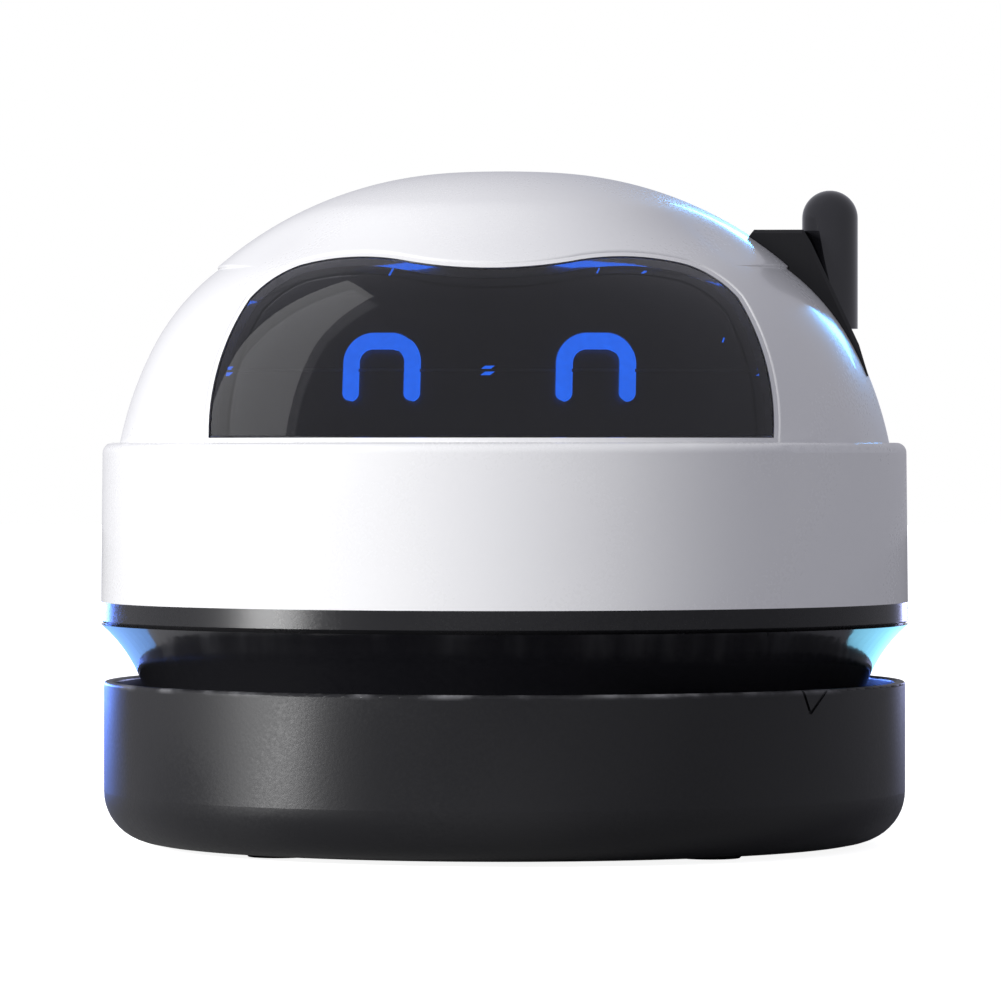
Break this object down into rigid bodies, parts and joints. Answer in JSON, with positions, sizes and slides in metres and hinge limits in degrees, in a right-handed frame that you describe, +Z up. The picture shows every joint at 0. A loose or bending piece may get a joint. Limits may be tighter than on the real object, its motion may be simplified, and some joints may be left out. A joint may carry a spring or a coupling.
{
  "type": "desktop mini vacuum cleaner",
  "caption": "Round battery desk vacuum: domed motor head with a lit face window, side antenna power button, twist-off dust cup with intake and bristles.",
  "frame": {"origin": "centre of the footprint on the desk, on the cup's axis", "axes": "+Z up along the cup's and head's common axis, the face window looks to -Y, the antenna is at +X"},
  "size_m": [0.09, 0.09, 0.0749],
  "materials": {
    "white_plastic": "satin",
    "smoked_lens": "polished",
    "black_gloss": "polished",
    "dark_trim": "satin",
    "cup_black": "satin",
    "face_black": "matt",
    "eye_blue": "lit",
    "grey_plastic": "moulded",
    "screw_steel": "zinc plated",
    "motor_steel": "plated",
    "copper_core": "wound",
    "board_green": "solder mask",
    "chip_black": "moulded",
    "lamp_white": "lit",
    "cell_blue": "shrink sleeve",
    "socket_steel": "plated",
    "filter_grey": "moulded",
    "mesh_grey": "moulded",
    "fleece_white": "felted",
    "bristle_black": "bristle",
    "foot_rubber": "matt",
    "switch_black": "moulded",
    "plunger_white": "moulded",
    "lead_red": "insulated"
  },
  "bodies": {
    "cup": {"dust_cup": "cup_black", "glide_feet": "foot_rubber", "inlet_funnel": "grey_plastic", "bristle_ring": "bristle_black", "funnel_screws": "screw_steel", "lock_collar": "cup_black"},
    "filter": {"filter_frame": "filter_grey", "filter_mesh": "mesh_grey", "filter_fleece": "fleece_white"},
    "rotor": {"motor_shaft": "motor_steel", "motor_armature": "copper_core", "impeller": "filter_grey"},
    "antenna": {"antenna_rod": "black_gloss", "switch_plunger": "plunger_white"},
    "head": {"neck_shroud": "black_gloss", "neck_screws": "screw_steel", "trim_ring": "dark_trim", "body_band": "white_plastic", "charge_light": "lamp_white", "dome_shell": "white_plastic", "crown_cap": "white_plastic", "visor_frame": "white_plastic", "visor_lens": "smoked_lens", "face_panel": "face_black", "eye_light_left": "eye_blue", "eye_light_right": "eye_blue", "face_board": "board_green", "face_lamps": "lamp_white", "chassis": "grey_plastic", "chassis_screws": "screw_steel", "motor_can": "motor_steel", "motor_end_cap": "switch_black", "motor_screws": "screw_steel", "fan_housing": "grey_plastic", "battery_cell": "cell_blue", "battery_holder": "switch_black", "main_board": "board_green", "board_parts": "chip_black", "usb_board": "board_green", "usb_shell": "socket_steel", "usb_tongue": "switch_black", "antenna_bracket": "cup_black", "bracket_screws": "screw_steel", "power_switch": "switch_black", "motor_leads": "lead_red"}
  },
  "joints": [
    {"name": "head_lift", "type": "slide", "parent": "cup", "child": "filter", "axis": [0, 0, 1], "range_m": [0, 0.04]},
    {"name": "head_twist", "type": "hinge", "parent": "filter", "child": "head", "pos_m": [0, 0, 0.02], "axis": [0, 0, 1], "range_deg": [0, 20]},
    {"name": "fan_spin", "type": "hinge", "parent": "head", "child": "rotor", "pos_m": [0, 0, 0.03], "axis": [0, 0, 1], "continuous": true},
    {"name": "antenna_press", "type": "slide", "parent": "head", "child": "antenna", "axis": [0, 0, -1], "range_m": [0, 0.0015], "stiffness_N_per_m": 900, "springref_m": -0.001}
  ]
}
